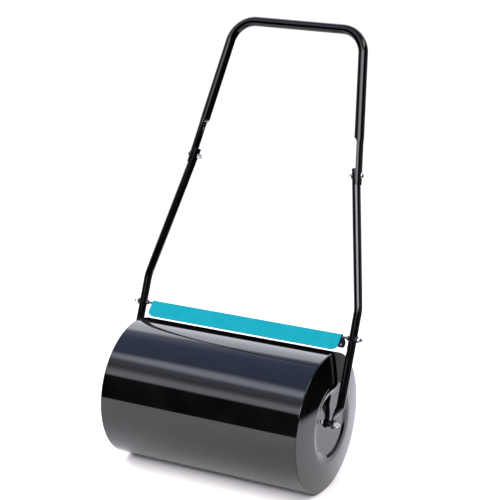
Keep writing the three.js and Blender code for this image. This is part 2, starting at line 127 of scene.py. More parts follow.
def spline(points, steps):
    """Smooth curve through 2-D points."""
    pts = [Vector(p) for p in points]
    pts = [pts[0] * 2 - pts[1]] + pts + [pts[-1] * 2 - pts[-2]]
    out = []
    for i in range(1, len(pts) - 2):
        p0, p1, p2, p3 = pts[i - 1:i + 3]
        for t in spread(0, 1, steps)[:-1]:
            out.append(tuple(0.5 * (2 * p1 + (p2 - p0) * t + (2 * p0 - 5 * p1 + 4 * p2 - p3) * t * t
                                    + (3 * p1 - p0 - 3 * p2 + p3) * t ** 3)))
    return out + [tuple(pts[-2])]


def inset(outline, by):
    """A closed outline, counter-clockwise, moved inward."""
    out = []
    for i, point in enumerate(outline):
        here = Vector(point)
        a = (here - Vector(outline[i - 1])).normalized()
        b = (Vector(outline[(i + 1) % len(outline)]) - here).normalized()
        n = Vector((-a.y - b.y, a.x + b.x))
        n = n.normalized() / max(0.4, math.sqrt(max(0.0, (1 + a.dot(b)) / 2)))
        out.append(tuple(here + n * by))
    return out


# ---------------------------------------------------------------- meshes
def skin(rows, closed=False):
    """Surface over rows of points; a row of one point is a pole."""
    verts, index, faces = [], [], []
    for line in rows:
        index.append(list(range(len(verts), len(verts) + len(line))))
        verts += line
    for a, b in zip(index, index[1:] + ([index[0]] if closed else [])):
        n = max(len(a), len(b))
        for i in range(n):
            j = (i + 1) % n
            if len(a) == 1:
                faces.append((a[0], b[j], b[i]))
            elif len(b) == 1:
                faces.append((a[i], a[j], b[0]))
            else:
                faces.append((a[i], a[j], b[j], b[i]))
    return verts, faces


def circle(x, r, seg=96):
    """Ring of points about X, or one point on the axis."""
    if r < 1e-6:
        return [(x, 0.0, 0.0)]
    turn = [2 * math.pi * i / seg for i in range(seg)]
    return [(x, r * math.cos(a), r * math.sin(a)) for a in turn]


def circles(profile, seg=SMALL):
    """Rings for an outline of (x, r)."""
    return [circle(x, r, seg) for x, r in profile]


def middle(line):
    """Row of one point, at the middle of a row."""
    return [tuple(sum(c) / len(line) for c in zip(*line))]


def revolve(profile, seg=96):
    """Outline of (x, r) turned about X; closed on itself unless it starts and ends on the axis."""
    rows = circles(profile, seg)
    return skin(rows, closed=len(rows[0]) > 1)


def thread(x0, x1, r, pitch, depth, seg=SMALL):
    """Rows of a helical thread from x0 to x1 whose crests are at r; it fades in and out."""
    rows = []
    count = max(4, round(abs(x1 - x0) / pitch * 8))
    for i, x in enumerate(spread(x0, x1, count)):
        fade = min(1.0, i / 6, (count - i) / 6)
        line = []
        for k in range(seg):
            a = 2 * math.pi * k / seg
            wave = abs(((x / pitch - k / seg) % 1.0) * 2 - 1)
            rr = r - depth * fade * min(1.0, max(0.0, wave * 1.3 - 0.15))
            line.append((x, rr * math.cos(a), rr * math.sin(a)))
        rows.append(line)
    return rows


def hex_nut(x0, x1, flats, bore, seg=96):
    """Chamfered hexagon nut about X; its corners are on multiples of 60 degrees."""
    face_r = flats / 2 * 0.965
    lift = math.tan(math.radians(30))
    bore_chamfer = 0.5

    def hexagon(x_end, way):
        line = []
        for k in range(seg):
            a = 2 * math.pi * k / seg
            off = a % (math.pi / 3) - math.pi / 6
            r = flats / 2 / math.cos(off)
            line.append((x_end + way * (r - face_r) * lift, r * math.cos(a), r * math.sin(a)))
        return line

    first = circles([(x0 + bore_chamfer, bore), (x0, bore + bore_chamfer), (x0, face_r)], seg)
    last = circles([(x1, face_r), (x1, bore + bore_chamfer), (x1 - bore_chamfer, bore)], seg)
    return skin(first + [hexagon(x0, 1), hexagon(x1, -1)] + last, closed=True)


def slab(outline, thick, bevel):
    """Flat sheet of (u, v, t) points: an outline, its thickness and its softened edges."""
    rows = []
    for a in spread(0, 90, 3):
        lift = bevel * (1 - math.sin(math.radians(a)))
        rows.append([(u, v, bevel * (1 - math.cos(math.radians(a))))
                     for u, v in inset(outline, lift)])
    top = [[(u, v, thick - t) for u, v, t in line] for line in reversed(rows)]
    verts, faces = skin(rows + top)
    n = len(outline)
    faces.append(tuple(range(n)))
    faces.append(tuple(reversed(range(len(verts) - n, len(verts)))))
    return verts, faces


def moved(shape, move):
    """Shape with a function applied to its points."""
    verts, faces = shape
    return [move(*v) for v in verts], faces


def mesh(name, shape, crease=CREASE):
    """Blender object from millimetre points, closed, facing out, with its creases marked."""
    verts, faces = shape
    data = bpy.data.meshes.new(name)
    data.from_pydata([(x * 0.001, y * 0.001, z * 0.001) for x, y, z in verts], [], faces)
    obj = bpy.data.objects.new(name, data)
    bpy.context.scene.collection.objects.link(obj)
    dress(obj, crease)
    return obj


def dress(obj, crease=CREASE):
    """Joins double points, turns the faces out and marks the creases."""
    bm = bmesh.new()
    bm.from_mesh(obj.data)
    bmesh.ops.remove_doubles(bm, verts=bm.verts, dist=1e-7)
    bmesh.ops.recalc_face_normals(bm, faces=bm.faces)
    for edge in bm.edges:
        edge.smooth = edge.calc_face_angle(0.0) < math.radians(crease)
    for face in bm.faces:
        face.smooth = True
    bm.to_mesh(obj.data)
    bm.free()


def combine(obj, tools, operation="DIFFERENCE"):
    """Cuts the tools out of obj, or joins them to it, and drops them."""
    for tool in tools:
        change = obj.modifiers.new("cut", "BOOLEAN")
        change.object, change.operation, change.solver = tool, operation, "EXACT"
    bpy.context.view_layer.update()
    changed = obj.evaluated_get(bpy.context.evaluated_depsgraph_get())
    result = bpy.data.meshes.new_from_object(changed)
    obj.modifiers.clear()
    obj.data = result
    for tool in tools:
        bpy.data.objects.remove(tool)
    dress(obj)


def mirrored(obj, name):
    """Copy of obj on the other side of the drum."""
    other = bpy.data.objects.new(name, obj.data.copy())
    bpy.context.scene.collection.objects.link(other)
    other.data.transform(Matrix.Scale(-1, 4, (1, 0, 0)))
    other.data.flip_normals()
    dress(other)
    return other


def rod(x0, x1, r, y=0.0, z=AXLE_Z, seg=48):
    """Round cutter along X."""
    shape = revolve([(x0, 0), (x0, r), (x1, r), (x1, 0)], seg)
    return mesh("cutter", moved(shape, lambda u, v, w: (u, v + y, w + z)))


# ---------------------------------------------------------------- materials
def noise(tree, scale, detail):
    """Noise over the piece's own coordinates, with the scale in waves a metre."""
    node = tree.nodes.new("ShaderNodeTexNoise")
    node.inputs["Scale"].default_value = scale
    node.inputs["Detail"].default_value = detail
    tree.links.new(tree.nodes.new("ShaderNodeTexCoord").outputs["Object"], node.inputs["Vector"])
    return node.outputs["Fac"]


def mottled(tree, colours, scale, low, high):
    """Colour that goes from the first to the second as the noise goes from low to high."""
    ramp = tree.nodes.new("ShaderNodeValToRGB")
    ramp.color_ramp.elements[0].position, ramp.color_ramp.elements[1].position = low, high
    for element, colour in zip(ramp.color_ramp.elements, colours):
        element.color = (*colour, 1.0)
    tree.links.new(noise(tree, scale, 5.0), ramp.inputs["Fac"])
    return ramp.outputs["Color"]


def uneven(tree, scale, low, high):
    """Number that wanders between low and high over the surface."""
    span = tree.nodes.new("ShaderNodeMapRange")
    span.inputs["From Min"].default_value, span.inputs["From Max"].default_value = 0.35, 0.75
    span.inputs["To Min"].default_value, span.inputs["To Max"].default_value = low, high
    tree.links.new(noise(tree, scale, 6.0), span.inputs["Value"])
    return span.outputs["Result"]


def bumped(tree, bumps):
    """Normal with a bump for each pair of noise scale and height in metres."""
    last = None
    for scale, height in bumps:
        bump = tree.nodes.new("ShaderNodeBump")
        bump.inputs["Distance"].default_value = height
        tree.links.new(noise(tree, scale, 2.0), bump.inputs["Height"])
        if last:
            tree.links.new(last.outputs["Normal"], bump.inputs["Normal"])
        last = bump
    return last.outputs["Normal"]


def node_material(name, colours, mottle, roughness, bumps, **fixed):
    """Principled material: two colours and the scale, low and high of their mottle, the scale, low
    and high of the roughness, the bumps, and the shader's own even values."""
    mat = bpy.data.materials.new(name)
    mat.use_nodes = True
    tree = mat.node_tree
    shader = next(n for n in tree.nodes if n.type == "BSDF_PRINCIPLED")
    for key, value in fixed.items():
        shader.inputs[key.replace("_", " ")].default_value = value
    tree.links.new(mottled(tree, colours, *mottle), shader.inputs["Base Color"])
    tree.links.new(uneven(tree, *roughness), shader.inputs["Roughness"])
    tree.links.new(bumped(tree, bumps), shader.inputs["Normal"])
    return mat


LOOKS = {
    "black_paint": node_material(
        "gloss_black_paint", colours=((0.001, 0.001, 0.0013), (0.0028, 0.0028, 0.003)),
        mottle=(14, 0.35, 0.75), roughness=(30, 0.035, 0.075), bumps=((9, 1.0e-4), (420, 4e-6)),
        IOR=1.5),
    "tube_paint": node_material(
        "satin_black_tube_paint", colours=((0.0005, 0.0005, 0.0007), (0.0014, 0.0014, 0.0016)),
        mottle=(14, 0.35, 0.75), roughness=(30, 0.045, 0.085), bumps=((9, 1.0e-4), (420, 4e-6)),
        IOR=1.5, Specular_IOR_Level=0.28),
    "zinc": node_material(
        "bright_zinc", colours=((0.56, 0.56, 0.55), (0.7, 0.7, 0.68)), mottle=(700, 0.35, 0.7),
        roughness=(500, 0.2, 0.36), bumps=((900, 1.2e-5),), Metallic=1.0),
    # zinc darkened to near-black: painted shade for the pivot bolts and inner nuts, which are seen in shade
    "zinc_darkened_as_painted_shade": node_material(
        "zinc_darkened_as_painted_shade", colours=((0.09, 0.095, 0.1), (0.14, 0.145, 0.15)), mottle=(700, 0.35, 0.7),
        roughness=(500, 0.28, 0.42), bumps=((900, 1.2e-5),), Metallic=1.0),
    "black_plastic": node_material(
        "moulded_black_plastic", colours=((0.008, 0.008, 0.009), (0.014, 0.014, 0.015)),
        mottle=(300, 0.3, 0.7), roughness=(400, 0.38, 0.55), bumps=((2200, 1e-5),), IOR=1.48),
    "seal_rubber": node_material(
        "seal_rubber", colours=((0.012, 0.012, 0.012), (0.024, 0.023, 0.022)),
        mottle=(400, 0.3, 0.7), roughness=(500, 0.7, 0.9), bumps=((1500, 2e-5),), IOR=1.45),
    "turquoise_paint": node_material(
        "turquoise_powder_coat", colours=((0.0, 0.2, 0.245), (0.0, 0.222, 0.27)),
        mottle=(60, 0.35, 0.7), roughness=(260, 0.32, 0.46), bumps=((40, 2e-5), (900, 1.2e-5)),
        IOR=1.45, Specular_IOR_Level=0.15),
    # near-black blue with almost no reflection: painted shade for the brackets' ears, which sit in shade at
    # the blade's ends
    "dark_blue_paint": node_material(
        "dark_blue_coat_painted_shade", colours=((0.0003, 0.006, 0.016), (0.0006, 0.011, 0.025)),
        mottle=(60, 0.35, 0.7), roughness=(260, 0.22, 0.34), bumps=((900, 1.2e-5),),
        IOR=1.45, Specular_IOR_Level=0.02),
}


# ---------------------------------------------------------------- pieces on their nodes
def place(obj, body, node, slot, look=None):
    """The piece rides on its body, stands for its CAD node and takes its slot's finish. A look other than
    the slot's own is a variant of the same finish: a less reflective black, or zinc darkened as painted
    shade."""
    even = obj.modifiers.new("even", "WEIGHTED_NORMAL")
    even.keep_sharp = True
    obj.data.materials.clear()
    obj.data.materials.append(LOOKS[look or slot])
    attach(obj, body)
    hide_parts(node)


def pair(right, body, node, slot, look=None):
    """Places the right-hand piece and its mirror image."""
    left = mirrored(right, right.name.replace("_right", "_left"))
    place(right, body, f"{node}_right", slot, look)
    place(left, body, f"{node}_left", slot, look)


def centre(node):
    """Middle of a CAD node, in millimetres."""
    low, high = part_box(node)
    return (low + high) * 500


def span_x(node):
    """Lowest and highest x of a CAD node, in millimetres."""
    low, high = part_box(node)
    return low.x * 1000, high.x * 1000


def about(node):
    """Function that puts a shape made about X onto a CAD node's own axis."""
    c = centre(node)
    return lambda x, y, z: (x, y + c.y, z + c.z)


# ---------------------------------------------------------------- drum
def build_barrel():
    outline = filleted([(-SHELL_HALF, DRUM_R - SHELL_T), (SHELL_HALF, DRUM_R - SHELL_T),
                        (SHELL_HALF, DRUM_R), (-SHELL_HALF, DRUM_R)], 0.4)
    barrel = mesh("barrel", moved(revolve(outline, FINE), about("drum_shell")))
    place(barrel, "drum", "drum_shell", "black_paint")


def plate_face(offset):
    """Outer face of the domed end plate from its turned rim to the pocket's floor, as (x, r)."""
    r = RIM_ROUND - offset
    rim_x, rim_r = DRUM_HALF - RIM_ROUND, DRUM_R - 0.2 - RIM_ROUND
    out = [(rim_x + r * math.sin(math.radians(a)), rim_r + r * math.cos(math.radians(a)))
           for a in spread(0, 76, 8)]
    for t in spread(0.02, 1, 24):
        rise = (CREST_X - DRUM_HALF - 0.4) * (1.25 * t - 0.25 * t * t)
        out.append((DRUM_HALF + 0.2 - offset + rise, DOME_R + (CREST_R + 3 - DOME_R) * t))
    # from the crest down to the pocket's floor, as drop and run
    fall = [(0.0, 0.0), (0.1, 2.5), (0.45, 5.5), (1.0, 8.5), (1.85, 12.0), (2.95, 15.0), (4.1, 18.0),
            (4.9, 20.3), (CREST_X - POCKET_X, CREST_R - POCKET_R)]
    crest = [out[-1]] + [(CREST_X - drop - offset, CREST_R - run) for drop, run in fall]
    return out + spline(crest, 5)[1:]


def build_end_plates():
    hub_hole = AXLE_R + GAP
    lip_x = SHELL_HALF + GAP
    outline = [(lip_x, DRUM_R - 0.2)] + plate_face(0)
    outline += [(POCKET_X, hub_hole), (POCKET_X - PLATE_T, hub_hole)]
    outline += plate_face(PLATE_T)[::-1] + [(lip_x, DRUM_R - 0.2 - PLATE_T)]
    right = mesh("end_plate_right_side", moved(revolve(outline, FINE), about("end_plate_right")))
    left = mirrored(right, "end_plate_left_side")
    fill = centre("filler_socket")
    combine(left, [rod(-DRUM_HALF + 20, -DRUM_HALF - 30, FILLER_HOLE + GAP, fill.y, fill.z, ROUND)])
    place(right, "drum", "end_plate_right", "black_paint")
    place(left, "drum", "end_plate_left", "black_paint")


# ---------------------------------------------------------------- filler
def build_filler_socket():
    out_x, in_x = span_x("filler_socket")
    rows = circles([(in_x - 0.8, FILLER_HOLE), (out_x + 0.8, FILLER_HOLE), (out_x, FILLER_HOLE - 0.8),
                    (out_x, FILLER_BORE + 1.2)], ROUND)
    rows += thread(out_x + 1.2, in_x - 0.6, FILLER_BORE + 0.5, FILLER_PITCH, 0.45, ROUND)
    rows += circles([(in_x, FILLER_BORE + 0.6), (in_x, FILLER_HOLE - 0.8)], ROUND)
    socket = mesh("filler_boss", moved(skin(rows, closed=True), about("filler_socket")))
    place(socket, "drum", "filler_socket", "black_paint")


def build_filler_seal():
    out_x, in_x = span_x("plug_seal")
    inner, outer = FILLER_BORE - 0.2, 15.5
    outline = filleted([(in_x, inner), (out_x, inner), (out_x, outer), (in_x, outer)], 0.5)
    seal = mesh("filler_seal", moved(revolve(outline, ROUND), about("plug_seal")))
    place(seal, "filler", "plug_seal", "seal_rubber")


def build_filler_plug():
    """Threaded shank and round head with a hexagon recess."""
    out_x, in_x = span_x("filler_plug")
    head_in = out_x + 2.0
    head_r = 16.0
    shank_r = FILLER_BORE - 0.6
    head = filleted([(head_in, head_r - 0.5), (head_in, head_r), (out_x + 0.8, head_r),
                     (out_x, head_r - 1), (out_x, 6)], 0.4, closed=False)
    rows = circles([(in_x, 0), (in_x, 10.0), (in_x - 0.8, shank_r - 0.7)], ROUND)
    rows += thread(in_x - 1.0, head_in + 2.2, shank_r, FILLER_PITCH, 0.7, ROUND)
    rows += circles([(head_in + 0.1, shank_r), (head_in, shank_r + 0.1)] + head + [(out_x, 0)], ROUND)
    plug = mesh("filler_screw", moved(skin(rows), about("filler_plug")))
    recess_r = 5 / math.cos(math.pi / 6)
    recess_in, recess_out = head_in + 6, out_x - 6
    recess = skin(circles([(recess_in, 0), (recess_in, recess_r), (recess_out, recess_r),
                           (recess_out, 0)], 6))
    combine(plug, [mesh("cutter", moved(recess, about("filler_plug")))])
    place(plug, "filler", "filler_plug", "black_plastic")


# ---------------------------------------------------------------- hub
def build_hub():
    """Stub axle, bush, washer and nut of each side."""
    in_x, out_x = span_x("axle_stub_right")
    flange_x, flange_r = in_x + 4, 17
    flange = filleted([(in_x, flange_r - 1), (in_x, flange_r), (flange_x, flange_r),
                       (flange_x, AXLE_R + 1), (flange_x + 1, AXLE_R), (flange_x + 13, AXLE_R)],
                      0.5, closed=False)
    rows = circles([(in_x, 0)] + flange) + thread(flange_x + 14, out_x - 1.2, AXLE_R, 1.5, 0.75)
    rows += circles([(out_x - 1.0, AXLE_R - 0.3), (out_x, AXLE_R - 1.3), (out_x, 0)])
    stub = mesh("stub_axle_right", moved(skin(rows), about("axle_stub_right")), THREAD_CREASE)
    pair(stub, "drum", "axle_stub", "zinc")

    in_x, out_x = span_x("hub_bush_right")
    bore = AXLE_R + GAP
    collar_r = BUSH_R + 2.2
    outline = filleted([(in_x, bore), (in_x, collar_r), (in_x + 1.9, collar_r), (in_x + 2.5, BUSH_R),
                        (out_x, BUSH_R), (out_x, bore)], 0.4)
    bush = mesh("bush_right", moved(revolve(outline, ROUND), about("hub_bush_right")))
    pair(bush, "push_frame", "hub_bush", "black_plastic")

    in_x, out_x = span_x("hub_washer_right")
    outline = filleted([(in_x, bore), (in_x, 10.5), (out_x, 10.5), (out_x, bore)], 0.4)
    washer = mesh("axle_washer_right", moved(revolve(outline, 72), about("hub_washer_right")))
    pair(washer, "drum", "hub_washer", "black_plastic")

    nut = hex_nut(*span_x("hub_nut_right"), HUB_NUT_FLATS, bore)
    nut = mesh("axle_nut_right", moved(nut, about("hub_nut_right")), NUT_CREASE)
    pair(nut, "drum", "hub_nut", "zinc")


# ---------------------------------------------------------------- lower arms
def arm_x(s):
    """Middle of the arm above its joggle, as if its kink were sharp."""
    return ARM_X - KINK_SLOPE * max(0.0, s - KINK_S)


def arm_centre(s):
    if s < KINK_S - KINK_TAN:
        return ARM_X - (ARM_X - EYE_X) * (1 - ease((s - 12) / 31))
    if s < KINK_S + KINK_TAN:
        t = (s - KINK_S + KINK_TAN) / (2 * KINK_TAN)
        return ARM_X - KINK_SLOPE * KINK_TAN * t * t
    return arm_x(s)


def stadium(half_t, straight, n=64):
    """Pressed tube section of (u, v): round ends of radius half_t and straight sides, evenly spaced."""
    quarter = straight + math.pi * half_t / 2
    out = []
    for k in range(n):
        run = (k + 0.5) / n * 4 * quarter
        side, run = int(run // quarter), run % quarter
        if side % 2:
            run = quarter - run
        if run < straight:
            u, v = half_t, run
        else:
            a = (run - straight) / half_t
            u, v = half_t * math.cos(a), straight + half_t * math.sin(a)
        out.append(((u, v), (-u, v), (-u, -v), (u, -v))[side])
    return out


def arm_ring(s, wall=0.0):
    """Section of the arm at s: round tube above, pressed flat below, rounded at its lower end."""
    flat = 1 - ease((s - 11) / 27)
    half_t = ARM_R + (EYE_T / 2 - ARM_R) * flat
    straight = (EYE_W / 2 - EYE_T / 2) * (ARM_R - half_t) / (ARM_R - EYE_T / 2)
    if s < 0:
        edge = math.sqrt(max(0.0, (EYE_W / 2) ** 2 - s * s))
        straight = max(0.0, edge - half_t)
        half_t = min(half_t, max(0.6, edge))
    slope = KINK_SLOPE if s > KINK_S else 0.0
    tilt = math.atan(slope * ease((s - KINK_S + KINK_TAN) / (2 * KINK_TAN)))
    return [lean(arm_centre(s) + u * math.cos(tilt), s + u * math.sin(tilt), v)
            for u, v in stadium(max(0.3, half_t - wall), straight)]


pivot = Vector(lean(0, PIVOT_S))
lap_tilt = math.atan(KINK_SLOPE)
lap_u = Vector((math.cos(lap_tilt), math.sin(lap_tilt) * math.sin(LEAN), math.sin(lap_tilt) * math.cos(LEAN)))
lap_v = Vector((0, math.cos(LEAN), -math.sin(LEAN)))
lap_w = lap_u.cross(lap_v)
lap_at = Vector(lean(arm_x(LAP_S), LAP_S))


def at_lap(x, y, z):
    """Puts a point of a shape made about X onto the right lap bolt's axis."""
    return tuple(lap_at + lap_u * x + lap_v * y + lap_w * z)


def lap_cutter():
    shape = revolve([(-40, 0), (-40, LAP_R + GAP), (40, LAP_R + GAP), (40, 0)], SMALL)
    return mesh("cutter", moved(shape, at_lap))


def build_arms():
    bend = spread(KINK_S - KINK_TAN, KINK_S + KINK_TAN, 10)
    rows = [arm_ring(-EYE_W / 2 * math.cos(math.radians(a))) for a in spread(3, 90, 12)]
    rows += [arm_ring(s) for s in spread(2, 76, 37) + spread(90, 240, 4) + bend + spread(300, 570, 6)]
    rows += [arm_ring(ARM_TOP - 0.4), arm_ring(ARM_TOP, LIP), arm_ring(ARM_TOP, ARM_WALL - LIP),
             arm_ring(ARM_TOP - 0.4, ARM_WALL)]
    inside = [500, 300] + bend[::-1] + spread(240, 90, 2) + spread(76, 50, 13)
    rows += [arm_ring(s, ARM_WALL) for s in inside]
    arm = mesh("lower_tube_right", skin([middle(rows[0])] + rows + [middle(rows[-1])]))
    combine(arm, [rod(EYE_X - 12, EYE_X + 12, BUSH_R + GAP),
                  rod(ARM_X - 30, ARM_X + 30, PIVOT_R + GAP, pivot.y, pivot.z), lap_cutter()])
    pair(arm, "push_frame", "lower_arm", "black_paint")


# ---------------------------------------------------------------- upper handle
tilt_leg = math.atan(LEG_SLOPE)
tangent = CORNER_R * math.tan((math.pi / 2 - tilt_leg) / 2)


def leg_x(s):
    return CORNER_X + LEG_SLOPE * (BAR_S - s)


def leg_section(press, wall, gap, n=96):
    """Round section whose inner half is pressed in, so that it cups the lower tube."""
    rx, rd, cup = HANDLE_R - 1.2 * press - wall, HANDLE_R + 0.7 * press - wall, CUP_R + wall
    out = []
    for k in range(n):
        a = 2 * math.pi * (k + 0.5) / n
        u, d = rx * math.cos(a), rd * math.sin(a)
        if u < 0 and press > 0:
            inside = math.sqrt(cup * cup - d * d) - gap if abs(d) < cup else -gap
            limit = min(rx * math.sqrt(max(0.0, 1 - (d / rd) ** 2)) - 0.25, inside)
            u += (max(u, max(-1.2, limit)) - u) * press
        out.append((u, d))
    return out


def handle_ring(x, s, facing, section):
    """A section set square to the handle's path at x, s."""
    return [lean(x + math.sin(facing) * u, s - math.cos(facing) * u, d) for u, d in section]


def leg_ring(s, wall):
    press = 1 - ease((s - (PRESS_FROM - 8)) / 18)
    gap = min(leg_x(s) - arm_x(min(s, 600)), 6)
    return handle_ring(leg_x(s), s, math.pi / 2 + tilt_leg, leg_section(press, wall, gap))


def bend_ring(a, wall):
    x, s = CORNER_X - tangent + CORNER_R * math.cos(a), BAR_S - CORNER_R + CORNER_R * math.sin(a)
    return handle_ring(x, s, math.pi / 2 + a, leg_section(0, wall, 0))


def handle_half(wall, lip):
    """Rows from the right leg's end to the middle of the push bar."""
    legs = spread(560, 620, 4) + spread(626, 648, 22) + spread(660, 780, 5)
    rows = [leg_ring(HANDLE_LOW, lip), leg_ring(HANDLE_LOW + 0.4, wall)]
    rows += [leg_ring(s, wall) for s in legs]
    return rows + [bend_ring(a, wall) for a in spread(tilt_leg, math.pi / 2, 26)]


def whole(rows):
    """Rows of the right half and of its mirror image, from end to end."""
    return rows + [[(-x, y, z) for x, y, z in line] for line in rows[::-1]]


def build_handle():
    outer = whole(handle_half(0, LIP))
    inner = whole(handle_half(HANDLE_WALL, HANDLE_WALL - LIP))
    handle = mesh("upper_tube", skin(outer + inner[::-1], closed=True))
    left_cutter = lap_cutter()
    left_cutter.data.transform(Matrix.Scale(-1, 4, (1, 0, 0)))
    left_cutter.data.flip_normals()
    combine(handle, [lap_cutter(), left_cutter])
    place(handle, "push_frame", "upper_handle", "black_paint", "tube_paint")


# ---------------------------------------------------------------- lap bolts
def build_lap_bolts():
    """Domed bolt, washer and nut of each side."""
    head_x = (leg_x(LAP_S) - arm_x(LAP_S)) * math.cos(lap_tilt) + HANDLE_R - 0.5
    head_r = 6.6
    end_x = -ARM_R - 9.5
    dome = [(head_x + 0.5 + 3.3 * math.sin(math.radians(a)), head_r * math.cos(math.radians(a)) ** 0.8)
            for a in spread(5, 85, 9)]
    rows = circles([(end_x, 0), (end_x, LAP_R - 0.7), (end_x + 0.5, LAP_R - 0.4)])
    rows += thread(end_x + 0.6, end_x + 13.5, LAP_R, 1.0, 0.5)
    rows += circles([(head_x - 0.1, LAP_R), (head_x, LAP_R + 0.1), (head_x, head_r - 0.3),
                     (head_x + 0.25, head_r)] + dome + [(head_x + 3.8, 0)])
    bolt = mesh("lap_bolt_right_piece", moved(skin(rows), at_lap), THREAD_CREASE)
    pair(bolt, "push_frame", "lap_bolt", "zinc")

    bore = LAP_R + GAP
    near, far = -ARM_R - GAP, -ARM_R - GAP - 1.4
    outline = filleted([(far, bore), (far, 6.2), (near, 6.2), (near, bore)], 0.3)
    washer = mesh("lap_washer_right_piece", moved(revolve(outline, 56), at_lap))
    pair(washer, "push_frame", "lap_washer", "zinc")

    nut = hex_nut(-ARM_R - 7.2, -ARM_R - 2.2, BOLT_NUT_FLATS, bore)
    nut = mesh("lap_nut_right_piece", moved(nut, at_lap), NUT_CREASE)
    pair(nut, "push_frame", "lap_nut", "zinc")


# ---------------------------------------------------------------- scraper
blade_dir = (BLADE_LOW - BLADE_TOP).normalized()


def on_back(w, t):
    """Point y, z at w down the blade from its top edge and t behind its face."""
    return BLADE_TOP.x + blade_dir.x * w - blade_dir.y * t, BLADE_TOP.y + blade_dir.y * w + blade_dir.x * t


def on_blade(x, w, t):
    return (x, *on_back(w, t))


def arc(centre_at, r, a0, a1, steps):
    return [(centre_at[0] + r * math.cos(math.radians(a)), centre_at[1] + r * math.sin(math.radians(a)))
            for a in spread(a0, a1, steps)]


def build_blade():
    right = [(BLADE_HALF, 0), (BLADE_HALF, BLADE_W - CLIP_W), (BLADE_HALF - 3, BLADE_W - CLIP_W + 5),
             (BLADE_HALF - CLIP_X, BLADE_W)]
    outline = filleted(right + [(-x, w) for x, w in right[::-1]], 2.2, steps=5)
    blade = mesh("blade", moved(slab(outline, BLADE_T, 0.45), on_blade))
    place(blade, "scraper", "scraper_blade", "turquoise_paint")
    blade.visible_glossy = False


def build_brackets():
    """A tab behind the blade and an ear that stands back from its end, on each side; the ear is coloured
    near-black blue as painted shade.
    """
    top = on_back(0.4, BLADE_T + GAP)
    low = on_back(BLADE_W - CLIP_W, BLADE_T + GAP)
    outline = [top, low] + arc((EAR_LOBE[0] - 4.5, EAR_LOBE[1]), LOBE_R, -112, -90, 4)
    outline += arc(EAR_LOBE, LOBE_R, -80, 30, 14)
    outline += [(pivot.y + 8.6, pivot.z + 1), (top[0] + 4.5, top[1] + 0.4)]
    ear = slab(filleted(outline, 1.6), TAB_T, 0.3)
    ear = mesh("bracket_right", moved(ear, lambda y, z, t: (EAR_IN + t, y, z)))

    in_x, out_x = BLADE_HALF - 24, BLADE_HALF - 0.6
    tab_top, tab_low = 12, BLADE_W - CLIP_W - 1
    outline = filleted([(in_x, tab_top), (out_x, tab_top), (out_x, tab_low), (in_x, tab_low)], 2.5)
    tab = slab(outline, TAB_T, 0.3)
    tab = mesh("tab", moved(tab, lambda x, w, t: on_blade(x, w, BLADE_T + GAP + t)))
    combine(ear, [tab], "UNION")
    combine(ear, [rod(EAR_IN - 6, EAR_IN + 8, PIVOT_R + GAP, pivot.y, pivot.z),
                  rod(EAR_IN - 6, EAR_IN + 8, EAR_HOLE_R, *EAR_HOLE)])
    # the brackets take the near-black blue painted shade
    pair(ear, "scraper", "scraper_bracket", "dark_blue_paint")


# ---------------------------------------------------------------- scraper pivots
def build_pivot_bolts():
    head_x, end_x = span_x("pivot_bolt_right")
    head = filleted([(head_x, 2.6), (head_x + 0.4, 3.5), (EAR_IN - GAP, 3.9), (EAR_IN - GAP, PIVOT_R),
                     (EAR_IN + 8, PIVOT_R)], 0.25, closed=False)
    rows = circles([(head_x, 0)] + head) + thread(EAR_IN + 9, end_x - 0.8, PIVOT_R, 1.0, 0.5)
    rows += circles([(end_x - 0.7, PIVOT_R - 0.3), (end_x, PIVOT_R - 0.9), (end_x, 0)])
    bolt = mesh("swing_bolt_right", moved(skin(rows), about("pivot_bolt_right")), THREAD_CREASE)
    # the pivot bolt takes zinc darkened as painted shade
    pair(bolt, "scraper", "pivot_bolt", "zinc", "zinc_darkened_as_painted_shade")

    # the inner nut takes zinc darkened as painted shade, the outer nut plain zinc
    for side, look in (("inner", "zinc_darkened_as_painted_shade"), ("outer", "zinc")):
        node = f"pivot_{side}_nut"
        nut = hex_nut(*span_x(f"{node}_right"), BOLT_NUT_FLATS, PIVOT_R + GAP)
        nut = mesh(f"swing_{side}_nut_right", moved(nut, about(f"{node}_right")), NUT_CREASE)
        pair(nut, "scraper", node, "zinc", look)


def build_saddles():
    """Short round bosses whose inner ends fit the arms' tubes."""
    in_x, out_x = ARM_X + 4, span_x("saddle_washer_right")[1]
    bore, boss_r = PIVOT_R + GAP, 7.5
    outline = filleted([(in_x, bore), (in_x, boss_r), (out_x, boss_r), (out_x, bore)], 0.7)
    boss = mesh("saddle_right", moved(revolve(outline, ROUND), about("saddle_washer_right")))
    turn = [2 * math.pi * k / ROUND for k in range(ROUND)]
    r = ARM_R + GAP
    tube = [[lean(ARM_X + r * math.cos(a), s, r * math.sin(a)) for a in turn]
            for s in (PIVOT_S - 30, PIVOT_S + 30)]
    combine(boss, [mesh("cutter", skin([middle(tube[0])] + tube + [middle(tube[1])]))])
    pair(boss, "push_frame", "saddle_washer", "black_plastic")


build_barrel()
build_end_plates()
build_filler_socket()
build_filler_seal()
build_filler_plug()
build_hub()
build_arms()
build_handle()
build_lap_bolts()
build_blade()
build_brackets()
build_pivot_bolts()
build_saddles()


# ---------------------------------------------------------------- floor
def link_math(tree, operation, a, b=None):
    """Math node over sockets or numbers; returns its output."""
    node = tree.nodes.new("ShaderNodeMath")
    node.operation = operation
    for socket, value in zip(node.inputs, (a, b)):
        if isinstance(value, bpy.types.NodeSocket):
            tree.links.new(value, socket)
        elif value is not None:
            socket.default_value = value
    return node.outputs["Value"]


